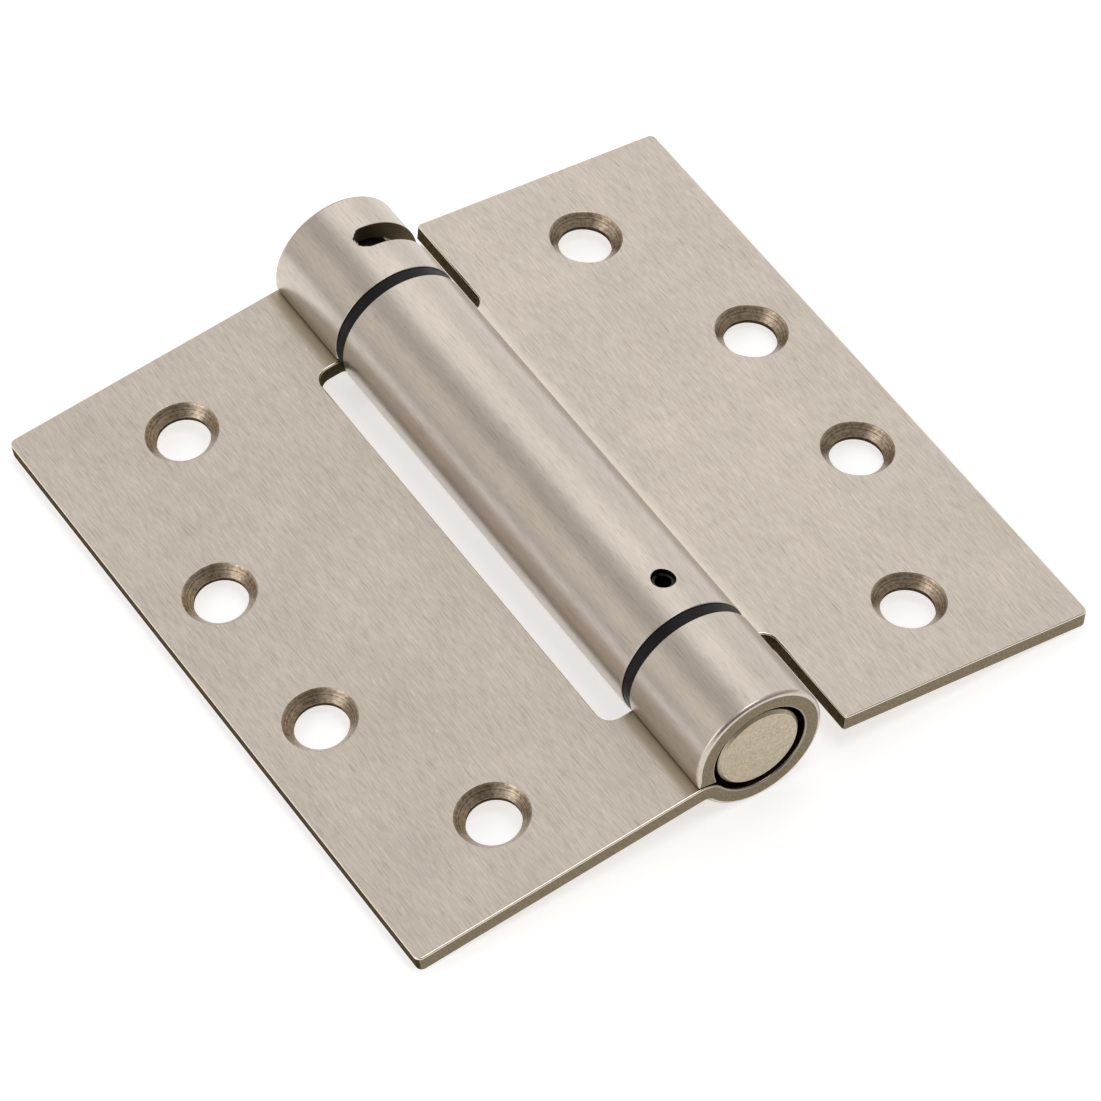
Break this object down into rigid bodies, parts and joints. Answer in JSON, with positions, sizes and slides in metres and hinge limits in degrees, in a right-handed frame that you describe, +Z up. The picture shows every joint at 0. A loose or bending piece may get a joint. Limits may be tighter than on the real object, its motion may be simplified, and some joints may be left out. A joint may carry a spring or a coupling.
{
  "type": "spring loaded door hinge",
  "caption": "Self-closing butt hinge: two square-cornered satin leaves with countersunk screw holes, rolled knuckles on one barrel with black bearing rings, and a torsion spring inside.",
  "frame": {"origin": "on the surface that the open hinge lies on, under the middle of the barrel", "axes": "+Y along the barrel axis towards its winding end, +X from the frame leaf towards the door leaf, +Z up out of the countersunk faces"},
  "size_m": [0.1006, 0.1016, 0.0185],
  "materials": {
    "satin_nickel": "satin, brushed along the barrel",
    "black_nylon": "moulded, slightly glossy",
    "blackened_steel": "black oxide",
    "plain_steel": "turned, faintly yellow",
    "spring_steel": "oiled spring wire"
  },
  "bodies": {
    "frame_leaf": {"frame_leaf": "satin_nickel", "upper_bearing": "black_nylon", "lower_bearing": "black_nylon"},
    "door_leaf": {"door_leaf": "satin_nickel", "pivot_plug": "plain_steel", "roll_pin": "blackened_steel", "torsion_spring": "spring_steel"},
    "spindle": {"tension_spindle": "blackened_steel"}
  },
  "joints": [
    {"name": "leaf_swing", "type": "hinge", "parent": "frame_leaf", "child": "door_leaf", "pos_m": [0, 0, 0.00925], "axis": [0, -1, 0], "range_deg": [-10, 192.54], "stiffness_Nm_per_rad": 1.4, "deforming": ["torsion_spring"]},
    {"name": "spring_winding", "type": "hinge", "parent": "frame_leaf", "child": "spindle", "pos_m": [0, 0, 0.00925], "axis": [0, -1, 0], "range_deg": [0, 270], "deforming": ["torsion_spring"]}
  ]
}
